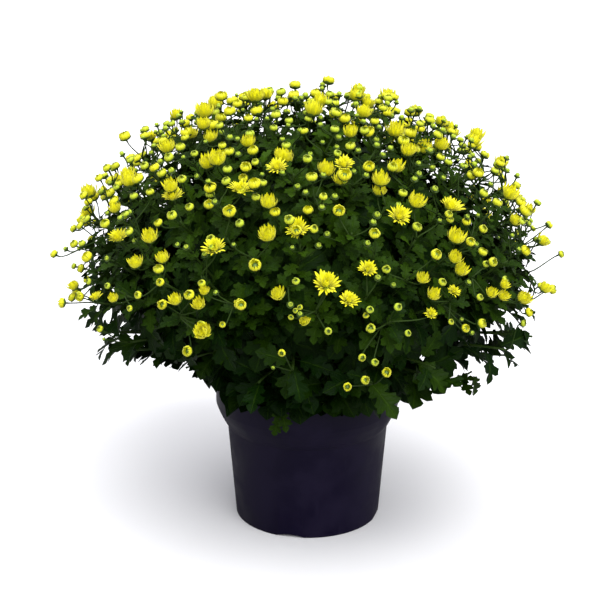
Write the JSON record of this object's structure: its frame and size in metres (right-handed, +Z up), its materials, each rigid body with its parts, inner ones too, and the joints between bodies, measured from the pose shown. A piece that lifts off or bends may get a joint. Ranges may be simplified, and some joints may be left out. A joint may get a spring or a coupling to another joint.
{
  "type": "pot chrysanthemum",
  "caption": "Domed garden chrysanthemum with lobed leaves and yellow buds and half-open flower heads, growing in a tapered plastic nursery pot with a deep collar.",
  "frame": {"origin": "middle of the pot's flat base, on the surface that it stands on", "axes": "+Z up along the pot's axis, -Y towards the side shown in front, +X to the viewer's right"},
  "size_m": [0.5218, 0.5075, 0.4513],
  "materials": {
    "pot_plastic": "satin",
    "potting_mix": "matte",
    "foliage": "satin",
    "petals": "matte"
  },
  "bodies": {
    "root": {"pot": "pot_plastic", "potting_mix": "potting_mix", "leafy_stem_01": "foliage", "leafy_stem_02": "foliage", "leafy_stem_03": "foliage", "leafy_stem_04": "foliage", "leafy_stem_05": "foliage", "leafy_stem_06": "foliage", "leafy_stem_07": "foliage", "leafy_stem_08": "foliage", "leafy_stem_09": "foliage", "leafy_stem_10": "foliage", "leafy_stem_11": "foliage", "leafy_stem_12": "foliage", "leafy_stem_13": "foliage", "leafy_stem_14": "foliage", "leafy_stem_15": "foliage", "leafy_stem_16": "foliage", "spray_01": "petals", "spray_02": "petals", "spray_03": "petals", "spray_04": "petals", "spray_05": "petals", "spray_06": "petals", "spray_07": "petals", "spray_08": "petals", "spray_09": "petals", "spray_10": "petals", "spray_11": "petals", "spray_12": "petals", "spray_13": "petals", "spray_14": "petals", "spray_15": "petals", "spray_16": "petals", "spray_17": "petals", "spray_18": "petals", "spray_19": "petals", "spray_20": "petals", "spray_21": "petals", "spray_22": "petals", "spray_23": "petals", "spray_24": "petals", "spray_25": "petals", "spray_26": "petals", "spray_27": "petals"}
  },
  "joints": []
}
